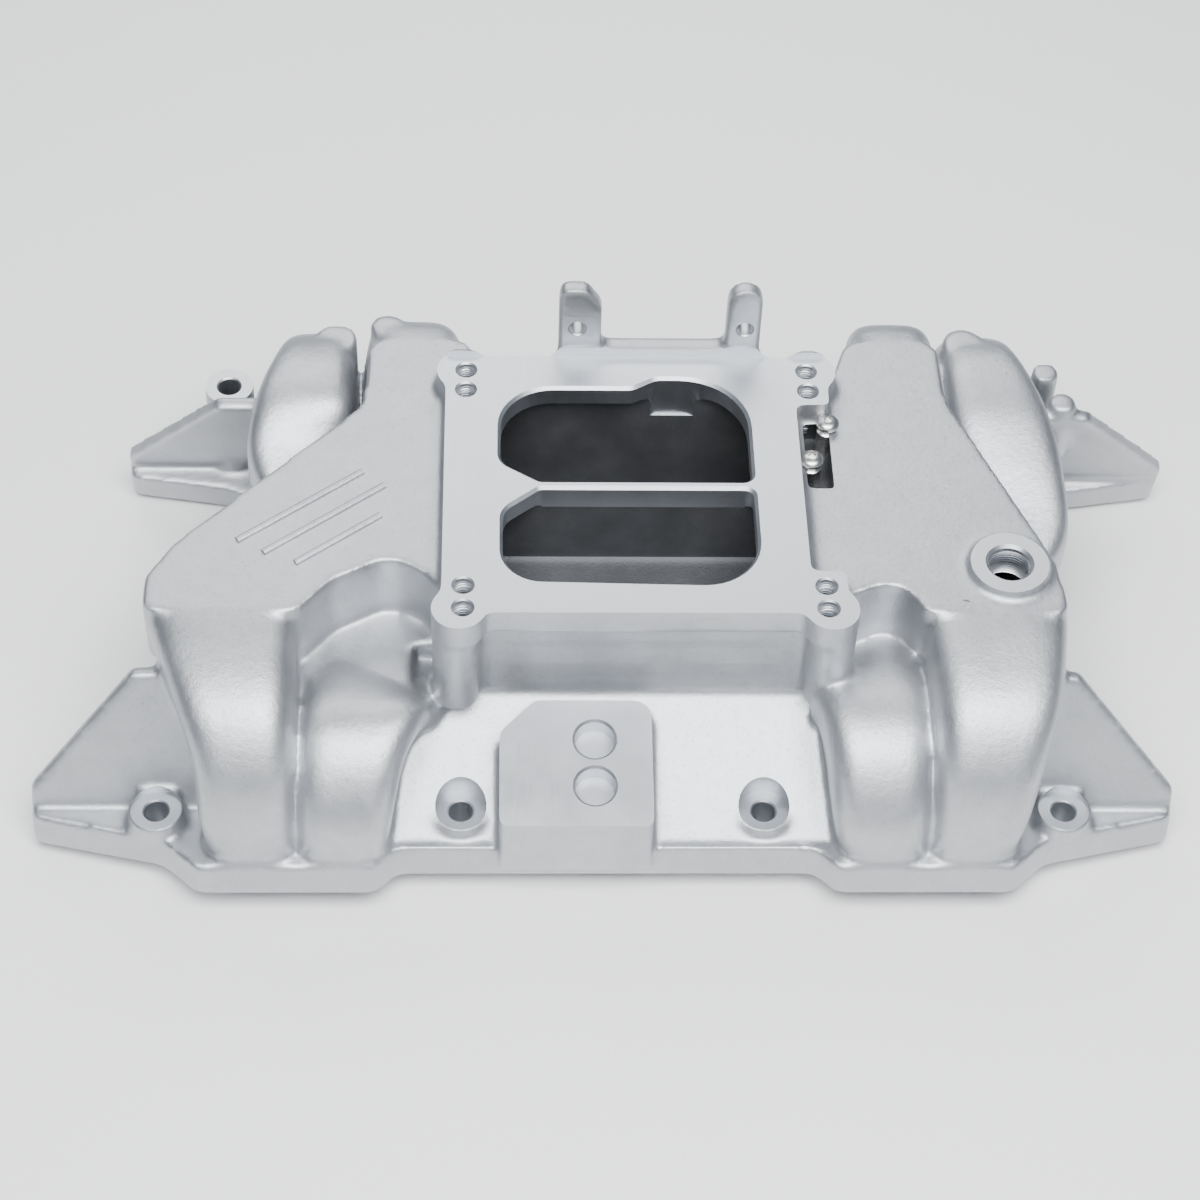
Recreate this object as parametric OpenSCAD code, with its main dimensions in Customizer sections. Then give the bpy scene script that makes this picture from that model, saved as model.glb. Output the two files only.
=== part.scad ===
// Dual-plane four-barrel intake manifold for a big-block V8.
// The casting is laid out as named solids that meet face to face.
// X runs along the engine, Y across it, Z is up. Lengths in millimetres.

/* [Overall] */
// Height of the carburettor face above the head-flange rim
carb_z = 109; // [90:1:140]
// Distance the two cylinder banks are offset along the engine
bank_stagger = 23; // [0:0.5:30]
// Length of one head flange, tip to tip
flange_len = 464; // [420:1:500]
// Carburettor centre along the engine
carb_x = 2.5; // [-20:0.5:20]

/* [Head flanges] */
// Cylinder spacing
bore_pitch = 121.92; // [100:0.01:130]
// Flange plate thickness
plate_t = 14; // [10:0.5:20]
// Tilt of the head face from level
head_tilt = 12; // [0:0.5:45]
// Half distance between the inner edges of the flanges
inner_y = 74; // [60:0.5:90]
// Distance of the bolt row from the centre line
bolt_y = 103; // [90:0.5:115]
// Clearance hole for a 3/8 in bolt
bolt_hole_d = 9.9; // [8:0.1:12]
// Bolt boss diameter
bolt_boss_d = 23; // [16:0.5:30]
// Height of the bolt spot faces
bolt_boss_z = 27; // [22:0.5:34]
// Port width
port_w = 28; // [22:0.5:36]
// Port height along the face
port_h = 46; // [36:0.5:56]
// Distance of a port from its pair centre
port_off = 18; // [15:0.5:24]
// Distance of a port pair from the flange middle
pair_x = 126; // [118:0.5:130]
// Shift of ports and bolts from the flange middle
pair_shift = 2.5; // [-5:0.5:5]
// Distance of the port centre from the inner edge
port_s = 30; // [24:0.5:34]

/* [Carburettor pad] */
// Thickness of the carburettor flange
pad_t = 12; // [8:0.5:20]
// Hole spacing along the engine
carb_dx = 142.88; // [130:0.01:150]
// Hole spacing across, square bore
carb_dy_square = 130.97; // [120:0.01:140]
// Hole spacing across, spread bore
carb_dy_spread = 107.95; // [100:0.01:115]
// Tapped hole diameter, 5/16 in
carb_hole_d = 7.9; // [6:0.1:10]
// Corner ear radius
ear_r = 11; // [9:0.5:14]

/* [Walls] */
// General casting wall
wall = 4.5; // [3:0.1:8]
// Underside of the upper passages
upper_z = 66; // [60:0.5:75]
// Roof of the upper passages
roof_z = 98; // [90:0.5:104]
// Underside of the plenum
plenum_z = 36; // [30:0.5:50]
// Gap between the two halves of the plenum
divider_t = 4; // [3:0.1:8]

/* [Bosses] */
// Vacuum port thread diameter
vac_d = 17.2; // [10:0.1:25]
// Vacuum port boss diameter
vac_boss_d = 32; // [25:0.5:45]
// Choke well thread diameter
choke_d = 16; // [10:0.5:20]
// Coil post diameter
post_d = 21.5; // [14:0.5:23]
// Coil post top height
post_z = 61; // [40:1:90]
// Linkage bracket ear hole diameter
ear_hole_d = 7; // [5:0.1:10]
// Linkage bracket plate thickness
bracket_t = 8; // [5:0.5:12]

/* [Hidden] */
$fn = 64;
over = 2;
near_x = -bank_stagger / 2 - carb_x;
far_x = bank_stagger / 2 - carb_x;
half_len = flange_len / 2;
case_x0 = -65;
case_x1 = 68;
case_y0 = -62;
case_y1 = 66;
case_floor = 6;
upper_floor_t = 5;
alloy = [0.74, 0.75, 0.77];
machined = [0.82, 0.83, 0.85];

function unit(v) = v / norm(v);
function turn(a) = a > 180 ? a - 360 : (a < -180 ? a + 360 : a);
// One rounded corner: p1 with radius r between its neighbours
function corner(p0, p1, p2, r, n) =
    let (a = unit(p0 - p1), b = unit(p2 - p1), h = acos(a * b) / 2)
    let (c = p1 + unit(a + b) * r / sin(h), s = p1 + a * r / tan(h), e = p1 + b * r / tan(h))
    let (a0 = atan2(s[1] - c[1], s[0] - c[0]), sw = turn(atan2(e[1] - c[1], e[0] - c[0]) - a0))
    [for (i = [0:n]) c + r * [cos(a0 + sw * i / n), sin(a0 + sw * i / n)]];
function xy(p) = [p[0], p[1]];
// Outline with a radius at each corner: [x, y, radius]
function rounded(p, n = 6) = [for (i = [0:len(p) - 1]) each (p[i][2] > 0 ?
    corner(xy(p[(i + len(p) - 1) % len(p)]), xy(p[i]), xy(p[(i + 1) % len(p)]), p[i][2], n) : [xy(p[i])])];

// A passage section is [centre, half width vector, half height vector]
side_pts = 24;
squareness = 0.55;
function signed_pow(v) = sign(v) * pow(abs(v), squareness);
function ring(s) = [for (i = [0:side_pts - 1]) let (a = 360 * i / side_pts)
    s[0] + s[1] * signed_pow(cos(a)) + s[2] * signed_pow(sin(a))];
function shrink(s, w) = [s[0], s[1] * (1 - w / norm(s[1])), s[2] * (1 - w / norm(s[2]))];
function slide(s, d) = [s[0] + unit(cross(s[1], s[2])) * d, s[1], s[2]];
function bore(p, reach = over) = [for (i = [0:len(p) - 1])
    slide(shrink(p[i], wall), i == 0 ? -over : (i == len(p) - 1 ? reach : 0))];

module loft(p) {
    m = len(p);
    n = side_pts;
    pts = [for (s = p) each ring(s)];
    skin = [for (j = [0:m - 2], i = [0:n - 1]) let (k = (i + 1) % n)
        each [[j * n + i, (j + 1) * n + i, (j + 1) * n + k], [j * n + i, (j + 1) * n + k, j * n + k]]];
    low = [[for (i = [0:n - 1]) i]];
    high = [[for (i = [0:n - 1]) m * n - 1 - i]];
    polyhedron(points = pts, faces = concat(low, skin, high), convexity = 6);
}

// Everything is placed from the carburettor centre
module placed() {
    translate([carb_x, 0, 0]) children();
}

// side +1 is the far bank, -1 the near bank
module bank(side) {
    mirror([0, side > 0 ? 0 : 1, 0]) children();
}

// Plane of the head face: x along the engine, y up the slope, z out of the plate
module on_face(x) {
    translate([x, inner_y, 0]) rotate([head_tilt, 0, 0]) children();
}

module port_shape() {
    polygon(rounded([[-port_w / 2, -port_h / 2, 7], [port_w / 2, -port_h / 2, 7],
        [port_w / 2, port_h / 2, 7], [-port_w / 2, port_h / 2, 7]]));
}

flange_right = [[0, 0, 0], [150, 0, 20], [190, 12, 14], [half_len, 18, 4], [half_len, 29, 5],
    [178, 44, 12], [163, 60, 6], [92, 60, 6], [84, 49, 8], [0, 49, 0]];

module flange_plate() {
    linear_extrude(height = plate_t)
        polygon(rounded(flange_right));
    mirror([1, 0, 0])
        linear_extrude(height = plate_t)
            polygon(rounded(flange_right));
}

module bolt_points(x) {
    for (i = [-1.5, -0.5, 0.5, 1.5])
        translate([x + i * bore_pitch, bolt_y, 0]) children();
}

module port_points(shift) {
    for (p = [-1, 1], q = [-1, 1])
        translate([shift + p * pair_x + q * port_off, port_s, 0]) children();
}

module head_flange(x, shift) {
    difference() {
        union() {
            on_face(x) flange_plate();
            bolt_points(x + shift) translate([0, 0, 14]) cylinder(d = bolt_boss_d, h = bolt_boss_z - 14);
        }
        on_face(x) port_points(shift) translate([0, 0, -over]) linear_extrude(height = plate_t + 30) port_shape();
        on_face(x) translate([-17, port_s - 12, -over]) cube([34, 24, plate_t + 30]);
        bolt_points(x + shift) translate([0, 0, -over]) cylinder(d = bolt_hole_d, h = bolt_boss_z + 2 * over);
    }
}

// Space taken by a flange, used to end the pieces that stand on it
module flange_block(x) {
    on_face(x) translate([-half_len - 20, -20, -40]) cube([flange_len + 40, 100, 40 + plate_t]);
}

// ---- passages ----
foot_y = inner_y + port_s * cos(head_tilt) - plate_t * sin(head_tilt);
foot_z = port_s * sin(head_tilt) + plate_t * cos(head_tilt);
trunk_c = (upper_z + roof_z) / 2;
trunk_h = (roof_z - upper_z) / 2;
near_front = near_x + pair_shift - pair_x;
near_rear = near_x + pair_shift + pair_x;
far_front = far_x - pair_shift - pair_x;
far_rear = far_x - pair_shift + pair_x;

// Row: x, y, z, half width, yaw of the width, half height, pitch of the height
function foot(x) = [x, foot_y, foot_z, port_off, 0, 28, head_tilt];
function section(r, dir) = [[r[0], r[1], r[2]],
    r[3] * [cos(r[4]), dir * sin(r[4]), 0], r[5] * [0, cos(r[6]), sin(r[6])]];
function path(rows, dir = 1) = [for (r = rows) section(r, dir)];

module passage(path, x) {
    difference() {
        loft(path);
        loft(bore(path));
        flange_block(x);
    }
}

module trunk_space() {
    translate([0, 0, upper_z]) linear_extrude(height = roof_z - upper_z + 20) {
        polygon(front_out);
        polygon(rear_out);
    }
    translate([case_x0, case_y0, plenum_z]) cube([case_x1 - case_x0, case_y1 - case_y0, carb_z - plenum_z]);
}

front_out = rounded([[case_x0, -49, 0], [case_x0, 70, 0], [-72, 88, 0], [-113, 88, 0], [-114, 55, 12],
    [-161, 5, 40], [-188, -24, 20], [-198, -40, 6], [-198, -46, 0], [-137, -46, 0], [-124, -41, 8],
    [-101, -29, 12], [-87, -37, 8], [-80, -49, 0]]);
front_in = [[-58, -44], [-58, -4], [-77, 8], [-77, 92], [-108, 92], [-108, 53], [-156, 2], [-182, -27],
    [-193, -43], [-193, -50], [-142, -50], [-142, -42], [-124, -35], [-101, -23], [-84, -30], [-77, -44]];
rear_out = rounded([[case_x1, -49, 0], [82, -49, 0], [103, -39, 10], [112, -46, 0], [170, -46, 0],
    [166, -30, 10], [131, 60, 12], [131, 88, 0], [92, 88, 0], [84, 70, 0], [case_x1, 66, 0]]);
rear_in = [[60, -44], [60, -4], [88, 8], [97, 20], [97, 92], [126, 92], [126, 59], [160, -31], [165, -44],
    [165, -50], [117, -50], [117, -42], [103, -33], [85, -44]];
vac_x = 147;
vac_y = -35;

module carb_flange() {
    far_slot = [[-41, 2.5, 4], [45.5, 2.5, 4], [45.5, 61, 28], [8, 61, 8], [-2, 55, 8], [-57, 55, 22], [-57, 13, 8]];
    near_slot = [[-41, -1.8, 4], [45.7, -1.8, 4], [45.7, -53, 22], [-56, -50.5, 16], [-56, -14, 10]];
    color(machined) placed() translate([0, 0, carb_z - pad_t]) difference() {
        union() {
            translate([-80, -68, 0]) cube([80 + case_x1, 68 + 74, pad_t]);
            for (a = [-1, 1], b = [-1, 1])
                translate([a * (carb_dx / 2 + 1.5), b * (carb_dy_square / 2), 0]) cylinder(r = ear_r, h = pad_t);
            for (b = [-1, 1])
                translate([60, b * carb_dy_spread / 2 - 8, 0]) cube([carb_dx / 2 - 52, 16, pad_t]);
        }
        translate([0, 0, -over]) linear_extrude(height = pad_t + 2 * over) polygon(rounded(far_slot));
        translate([0, 0, -over]) linear_extrude(height = pad_t + 2 * over) polygon(rounded(near_slot));
        for (a = [-1, 1], b = [-1, 1], d = [carb_dy_square, carb_dy_spread])
            translate([a * carb_dx / 2, b * d / 2, -over]) cylinder(d = carb_hole_d, h = pad_t + 2 * over);
    }
}

// Box under the carburettor flange, open on top and to the passages
module plenum_case() {
    color(alloy) placed() difference() {
        translate([case_x0, case_y0, plenum_z])
            cube([case_x1 - case_x0, case_y1 - case_y0, carb_z - pad_t - plenum_z]);
        translate([case_x0 + case_floor, case_y0 + case_floor, plenum_z + case_floor])
            cube([case_x1 - case_x0 - 2 * case_floor, case_y1 - case_y0 - 2 * case_floor, carb_z]);
        translate([case_x0 - 1, -44, upper_z + 5])
            cube([case_x1 - case_x0 + 2, 40, roof_z - upper_z - 10]);
        lower_cores();
    }
}

module plane_divider() {
    color(alloy) placed() translate([case_x0 + case_floor, 0.3 - divider_t / 2, upper_z])
        cube([case_x1 - case_x0 - 2 * case_floor, divider_t, carb_z - pad_t - upper_z]);
}

module upper_floor() {
    color(alloy) placed() translate([case_x0 + case_floor, case_y0 + case_floor, upper_z - upper_floor_t])
        cube([case_x1 - case_x0 - 2 * case_floor, 0.3 + divider_t / 2 - case_y0 - case_floor, upper_floor_t]);
}

// The upper passages are a floor, a wall round the air and a roof
module trunk_slab(outline, z0, z1) {
    translate([0, 0, z0]) linear_extrude(height = z1 - z0) polygon(outline);
}

module trunk_wall(outline, air) {
    difference() {
        trunk_slab(outline, upper_z + wall, roof_z - wall);
        trunk_slab(air, upper_z, roof_z);
    }
}

module pad_space(x0, length) {
    translate([x0, -80, carb_z - pad_t]) cube([length, 170, pad_t]);
}

module trunk_floor_front() {
    color(alloy) placed() trunk_slab(front_out, upper_z, upper_z + wall);
}

module trunk_wall_front() {
    color(alloy) placed() trunk_wall(front_out, front_in);
}

module trunk_roof_front() {
    color(alloy) placed() difference() {
        trunk_slab(front_out, roof_z - wall, roof_z);
        pad_space(-90, 100);
    }
}

module trunk_floor_rear() {
    color(alloy) placed() trunk_slab(rear_out, upper_z, upper_z + wall);
}

module trunk_wall_rear() {
    color(alloy) placed() difference() {
        trunk_wall(rear_out, rear_in);
        roof_pocket();
    }
}

module trunk_roof_rear() {
    color(alloy) placed() difference() {
        trunk_slab(rear_out, roof_z - wall, roof_z);
        roof_pocket();
        translate([vac_x, vac_y, upper_z + 2 * wall]) cylinder(d = vac_d, h = 60);
        pad_space(50, 35);
    }
}

module roof_pocket() {
    translate([60, 8, roof_z - 14]) cube([20, 46, 20]);
}

near_outer_front = path([foot(near_front - port_off), [-156.5, 101, 39, 19.5, 0, 27, 16],
    [-157, 97, 57, 20, 0, 25, 36], [-160.5, 85, 71, 23.5, 0, 22, 56], [-166, 62, 80, 28, 0, 17.5, 78],
    [-167.5, 46, trunk_c, 30.5, 0, trunk_h, 90]]);
near_outer_rear = path([foot(near_rear + port_off), [134.5, 101, 39, 20, 0, 27, 16],
    [136.5, 97, 57, 22, 0, 25, 36], [139.5, 85, 71, 25, 0, 22, 56], [141, 62, 80, 28, 0, 17.5, 78],
    [141, 46, trunk_c, 29, 0, trunk_h, 90]]);
near_inner_front = path([foot(near_front + port_off), [-118, 101, 37, 19.5, 0, 27, 18],
    [-115.5, 94, 52, 21.5, 0, 23, 42], [-111, 82, 59, 25, 0, 18, 66], [-106, 64, 54, 25, 30, 13, 90],
    [-88, 47, 48, 23, 62, 11, 90], [case_x0, 36, 49, 20, 90, 11, 90]]);
near_inner_rear = path([foot(near_rear - port_off), [95, 101, 37, 19.5, 0, 27, 18],
    [94, 94, 52, 20.5, 0, 23, 42], [92.5, 82, 60, 22, 0, 18, 66], [90, 64, 58, 24, 25, 15, 90],
    [82, 48, 51, 21, 60, 13, 90], [case_x1, 38, 50, 20, 90, 12, 90]], -1);
far_inner_front = path([foot(far_front + port_off), [-101, 101, 39, 18.5, 0, 27, 16],
    [-98, 100, 58, 19.5, 0, 26, 30], [-95, 98, 74, 20, 0, 23, 52], [-93, 92, 81, 20.5, 0, 17.5, 78],
    [-92.5, 88, trunk_c, 20.5, 0, trunk_h, 90]]);
far_inner_rear = path([foot(far_rear - port_off), [114, 101, 39, 18.5, 0, 27, 16],
    [113, 100, 58, 19, 0, 26, 30], [112, 98, 74, 19, 0, 23, 52], [111.5, 92, 81, 19.5, 0, 17.5, 78],
    [111.5, 88, trunk_c, 19.5, 0, trunk_h, 90]]);
far_outer_front = path([foot(far_front - port_off), [-138, 101, 42, 18.5, 0, 27, 14],
    [-136.5, 98, 62, 16.5, 0, 25, 34], [-137.5, 88, 74, 17.5, 0, 22, 56], [-141, 66, 75, 21.5, 0, 19, 88],
    [-141, 46, 66, 22, 20, 15, 90], [-118, 22, 51, 22, 55, 13, 90], [case_x0, 14, 50, 20, 90, 12, 90]]);
far_outer_rear = path([foot(far_rear + port_off), [150.5, 101, 42, 18.5, 0, 27, 14],
    [149.5, 98, 62, 17, 0, 25, 34], [151, 88, 74, 18, 0, 22, 56], [156, 66, 74, 22, 0, 19, 88],
    [159, 42, 67, 24, 10, 17, 90], [157, 18, 57, 26, 25, 15, 90], [140, 5, 51, 23, 55, 13, 90],
    [112, 5, 50, 21, 75, 12.5, 90], [case_x1, 6, 50, 20, 90, 12, 90]], -1);

module lower_cores() {
    bank(-1) loft(bore(near_inner_front, case_floor + over));
    bank(-1) loft(bore(near_inner_rear, case_floor + over));
    bank(1) loft(bore(far_outer_front, case_floor + over));
    bank(1) loft(bore(far_outer_rear, case_floor + over));
}

module runner_near_outer_front() {
    color(alloy) placed() bank(-1) passage(near_outer_front, near_x);
}

module runner_near_outer_rear() {
    color(alloy) placed() bank(-1) passage(near_outer_rear, near_x);
}

module runner_far_inner_front() {
    color(alloy) placed() bank(1) passage(far_inner_front, far_x);
}

module runner_far_inner_rear() {
    color(alloy) placed() bank(1) passage(far_inner_rear, far_x);
}

module runner_near_inner_front() {
    color(alloy) placed() difference() {
        bank(-1) passage(near_inner_front, near_x);
        trunk_space();
    }
}

module runner_near_inner_rear() {
    color(alloy) placed() difference() {
        bank(-1) passage(near_inner_rear, near_x);
        trunk_space();
    }
}

module runner_far_outer_front() {
    color(alloy) placed() difference() {
        bank(1) passage(far_outer_front, far_x);
        trunk_space();
    }
}

module runner_far_outer_rear() {
    color(alloy) placed() difference() {
        bank(1) passage(far_outer_rear, far_x);
        trunk_space();
    }
}

module head_flange_near() {
    color(machined) placed() bank(-1) head_flange(near_x, pair_shift);
}

module head_flange_far() {
    color(machined) placed() bank(1) head_flange(far_x, -pair_shift);
}

// Triangular web from a flange tip up to the outer passage, leaning inward
web_lean = 20;
module end_web(x, end, shift, y) {
    difference() {
        translate([x + end * half_len, y, 19]) rotate([web_lean, 0, 0])
            rotate([90, 0, 0]) translate([0, 0, -3]) linear_extrude(height = 6)
                polygon(rounded([[0, -8, 0], [0, 8, 3], [-end * 44, 62, 3], [-end * 70, 62, 0], [-end * 70, -8, 0]]));
        flange_block(x);
        bolt_points(x + shift) cylinder(d = bolt_boss_d, h = bolt_boss_z);
    }
}

module end_web_near_front() {
    color(alloy) placed() bank(-1) difference() {
        end_web(near_x, -1, pair_shift, 92);
        loft(near_outer_front);
    }
}

module end_web_near_rear() {
    color(alloy) placed() bank(-1) difference() {
        end_web(near_x, 1, pair_shift, 93);
        loft(near_outer_rear);
    }
}

module end_web_far_front() {
    color(alloy) placed() bank(1) difference() {
        end_web(far_x, -1, -pair_shift, 98);
        loft(far_outer_front);
        coil_post_place() cylinder(d = post_d, h = 100);
    }
}

module end_web_far_rear() {
    color(alloy) placed() bank(1) difference() {
        end_web(far_x, 1, -pair_shift, 93);
        loft(far_outer_rear);
    }
}

// Exhaust-heat duct under the plenum, from bank to bank
module heat_crossover() {
    y1 = inner_y + 6;
    w = 22;
    color(alloy) placed() difference() {
        translate([0, 0, 10]) linear_extrude(height = plenum_z - 10)
            polygon([[near_x - w, -y1], [near_x + w, -y1], [far_x + w, y1], [far_x - w, y1]]);
        translate([0, 0, 10 + wall]) linear_extrude(height = plenum_z - 10 - 2 * wall)
            polygon([[near_x - w + wall, -y1 - over], [near_x + w - wall, -y1 - over],
                [far_x + w - wall, y1 + over], [far_x - w + wall, y1 + over]]);
        bank(-1) flange_block(near_x);
        bank(1) flange_block(far_x);
    }
}

// Sloping deck between the inner passages, from the plenum down to the flange
module apron(x, x0, x1) {
    difference() {
        union() {
            translate([x0, 0, 0]) rotate([90, 0, 90]) linear_extrude(height = x1 - x0)
                polygon([[66, 52], [62, 52], [62, 45], [112, 18], [116, 24]]);
            for (d = [-26, 22])
                translate([x + d, 0, 0]) rotate([90, 0, 90]) linear_extrude(height = 4)
                    polygon([[70, 41], [70, 10], [110, 10], [110, 20]]);
        }
        flange_block(x);
    }
}

module apron_near() {
    color(alloy) placed() bank(-1) difference() {
        apron(near_x, -101, 80);
        loft(near_inner_front);
        loft(near_inner_rear);
        bolt_points(near_x + pair_shift) cylinder(d = bolt_boss_d + 4, h = 60);
    }
}

module apron_far() {
    color(alloy) placed() bank(1) difference() {
        apron(far_x, -84, 98);
        translate([-100, 0, 0]) cube([220, 66, 60]);
        loft(far_inner_front);
        loft(far_inner_rear);
        bolt_points(far_x - pair_shift) cylinder(d = bolt_boss_d + 4, h = 60);
    }
}

// Thick pad over the heat passage with two threaded wells
choke_x0 = -57;
choke_x1 = 4;
choke_y = 70;
choke_hx = -19;
choke_slope = 12;
choke_z = 57;
choke_depth = 9;
module choke_pad() {
    color(machined) placed() bank(-1) difference() {
        linear_extrude(height = 80)
            polygon(rounded([[choke_x0, choke_y + 14, 0], [choke_x0 + 14, choke_y, 0], [choke_x1, choke_y, 7],
                [choke_x1, 124, 0], [choke_x0, 124, 0]]));
        translate([choke_x0 - over, choke_y, choke_z]) rotate([-choke_slope, 0, 0]) translate([0, -20, 0])
            cube([80, 100, 60]);
        flange_block(near_x);
        translate([choke_x0 - over, 0, 0]) rotate([90, 0, 90]) linear_extrude(height = 70)
            polygon([[60, -1], [60, 52], [66, 52], [116, 24], [112, 18], [112, -1]]);
        for (y = [87, 107])
            translate([choke_hx, y, choke_z - (y - choke_y) * tan(choke_slope)]) rotate([-choke_slope, 0, 0])
                translate([0, 0, -choke_depth]) cylinder(d = choke_d, h = 26);
        bolt_points(near_x + pair_shift) cylinder(d = bolt_boss_d + 4, h = 80);
    }
}

// Round columns under the near ears of the carburettor flange
module pad_columns() {
    color(alloy) placed() for (a = [-1, 1]) difference() {
        translate([a * (carb_dx / 2 + 3), -carb_dy_square / 2 - 0.5, 58]) cylinder(d = 19, h = carb_z - pad_t - 58);
        trunk_space();
    }
}

module vacuum_boss() {
    color(machined) placed() translate([vac_x, vac_y, roof_z]) difference() {
        cylinder(d = vac_boss_d, h = 4);
        translate([0, 0, -over]) cylinder(d = vac_d, h = 10);
    }
}

// Tall boss over the front bolt of the far flange, for a long bolt that also holds a coil bracket
module coil_post_place() {
    translate([far_x - pair_shift - 1.5 * bore_pitch, bolt_y, 0]) children();
}

module coil_post() {
    color(alloy) placed() bank(1) coil_post_place() difference() {
        translate([0, 0, bolt_boss_z]) cylinder(d = post_d, h = post_z - bolt_boss_z);
        cylinder(d = bolt_hole_d, h = post_z + over);
    }
}

// Upright bracket behind the carburettor with two drilled ears
bracket_y = 74;
bracket_top = 146;
module linkage_bracket() {
    shape = rounded([[-33, 96, 3], [52, 96, 3], [52, bracket_top, 7], [37, bracket_top, 7],
        [37, 113.5, 4], [-15, 113.5, 4], [-15, 137, 4], [-21, bracket_top, 4], [-33, bracket_top, 4]]);
    color(alloy) placed() difference() {
        translate([0, bracket_y + bracket_t, 0]) rotate([90, 0, 0]) linear_extrude(height = bracket_t) polygon(shape);
        for (x = [-25, 45])
            translate([x, bracket_y - over, 125]) rotate([-90, 0, 0]) cylinder(d = ear_hole_d, h = bracket_t + 2 * over);
    }
}

module stay_boss(x, y, z0, z1, d) {
    translate([x, y, z0]) difference() {
        cylinder(d = d, h = z1 - z0);
        translate([0, 0, z1 - z0 - 10]) cylinder(d = d * 0.4, h = 12);
    }
}

module stay_boss_front() {
    color(alloy) placed() difference() {
        stay_boss(-106, 106, 60, 96, 15);
        loft(far_inner_front);
        trunk_space();
    }
}

module stay_bosses_rear() {
    color(alloy) placed() difference() {
        union() {
            stay_boss(180, 92, 50, 84, 12);
            stay_boss(186, 76, 50, 82, 12);
        }
        loft(far_outer_rear);
    }
}

module roof_bosses() {
    color(alloy) placed() difference() {
        union() {
            translate([-128, 103, 70]) cylinder(d = 18, h = 21);
            translate([144, 102, 70]) cylinder(d = 18, h = 22);
        }
        loft(far_outer_front);
        loft(far_outer_rear);
    }
}

// Two round-headed nipples in the pocket beside the carburettor pad
module vacuum_nipples() {
    color(machined) placed() for (p = [[73, 18], [75, 42]])
        translate([p[0], p[1], roof_z - 14]) {
            cylinder(d = 7, h = 14);
            translate([0, 0, 14]) sphere(d = 10);
        }
}

// Pairs of short parallel lugs on the port pads
module datum_lugs() {
    color(alloy) placed() for (x = [near_x - 146, near_x + 146], d = [-6, 6])
        bank(-1) on_face(x) translate([d - 1.5, 50, plate_t]) cube([3, 9, 3]);
}

// Plain raised strips on the front roof
module roof_ribs() {
    color(alloy) placed() for (r = [[-138, -2, 62], [-128, -9, 60], [-122, -20, 42]])
        translate([r[0], r[1], roof_z]) rotate([0, 0, 38]) translate([-r[2] / 2, -2, 0]) cube([r[2], 4, 1.2]);
}

carb_flange();
plenum_case();
plane_divider();
upper_floor();
trunk_floor_front();
trunk_wall_front();
trunk_roof_front();
trunk_floor_rear();
trunk_wall_rear();
trunk_roof_rear();
runner_near_outer_front();
runner_near_inner_front();
runner_near_inner_rear();
runner_near_outer_rear();
runner_far_outer_front();
runner_far_inner_front();
runner_far_inner_rear();
runner_far_outer_rear();
head_flange_near();
head_flange_far();
end_web_near_front();
end_web_near_rear();
end_web_far_front();
end_web_far_rear();
heat_crossover();
apron_near();
apron_far();
choke_pad();
pad_columns();
vacuum_boss();
coil_post();
linkage_bracket();
stay_boss_front();
stay_bosses_rear();
roof_bosses();
vacuum_nipples();
datum_lugs();
roof_ribs();
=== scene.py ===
# %% [markdown]
# # A dual-plane intake manifold
# This lesson dresses a measured CAD model of a bare aluminium intake manifold.
# The real thing is one sand casting with a few milled faces and drilled holes, so the looks
# come from soft cast fillets everywhere and crisp edges only where a cutter has been.
# The frame comes first: it gives every size and place in metres, and nothing in it moves.

# %% Load the frame
import math

import bmesh
import bpy
import numpy as np
from mathutils import Matrix, Vector


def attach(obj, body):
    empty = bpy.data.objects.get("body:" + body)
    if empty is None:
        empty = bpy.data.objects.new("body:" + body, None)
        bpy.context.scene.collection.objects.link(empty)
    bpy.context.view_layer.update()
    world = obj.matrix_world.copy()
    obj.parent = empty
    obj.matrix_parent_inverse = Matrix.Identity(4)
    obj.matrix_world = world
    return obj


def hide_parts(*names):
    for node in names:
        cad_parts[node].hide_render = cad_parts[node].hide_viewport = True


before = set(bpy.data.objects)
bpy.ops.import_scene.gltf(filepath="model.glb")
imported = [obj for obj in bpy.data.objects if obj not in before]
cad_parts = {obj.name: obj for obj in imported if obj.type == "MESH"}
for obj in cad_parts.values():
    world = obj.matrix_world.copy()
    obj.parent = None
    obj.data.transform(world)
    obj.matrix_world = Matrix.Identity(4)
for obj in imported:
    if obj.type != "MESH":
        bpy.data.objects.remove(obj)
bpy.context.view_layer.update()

# %% [markdown]
# ## Camera
# The camera stands in front of one bank, looking down at about fifty degrees through a long lens.
# It is placed from two angles, a distance and a small sideways and upward shift of the subject,
# measured from the middle of the carburettor pad.

# %% Place the camera
MM = 0.001
CARB_X = 2.5
PAD_Z = 109.0
pad_centre = np.array([CARB_X, 0.0, PAD_Z]) * MM

azimuth, elevation, roll = (math.radians(a) for a in (-3.06, 49.31, 2.49))
subject_right, subject_up, distance = 16.7 * MM, 46.6 * MM, 1124.3 * MM

back = np.array([math.sin(azimuth) * math.cos(elevation),
                 -math.cos(azimuth) * math.cos(elevation), math.sin(elevation)])
right = np.array([math.cos(azimuth), math.sin(azimuth), 0.0])
up = np.cross(back, right)
axes = np.array([right, up, back])
turn = np.array([[math.cos(roll), math.sin(roll), 0], [-math.sin(roll), math.cos(roll), 0], [0, 0, 1]])
axes = turn @ axes
eye = axes.T @ np.array([-subject_right, -subject_up, distance]) + pad_centre

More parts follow.
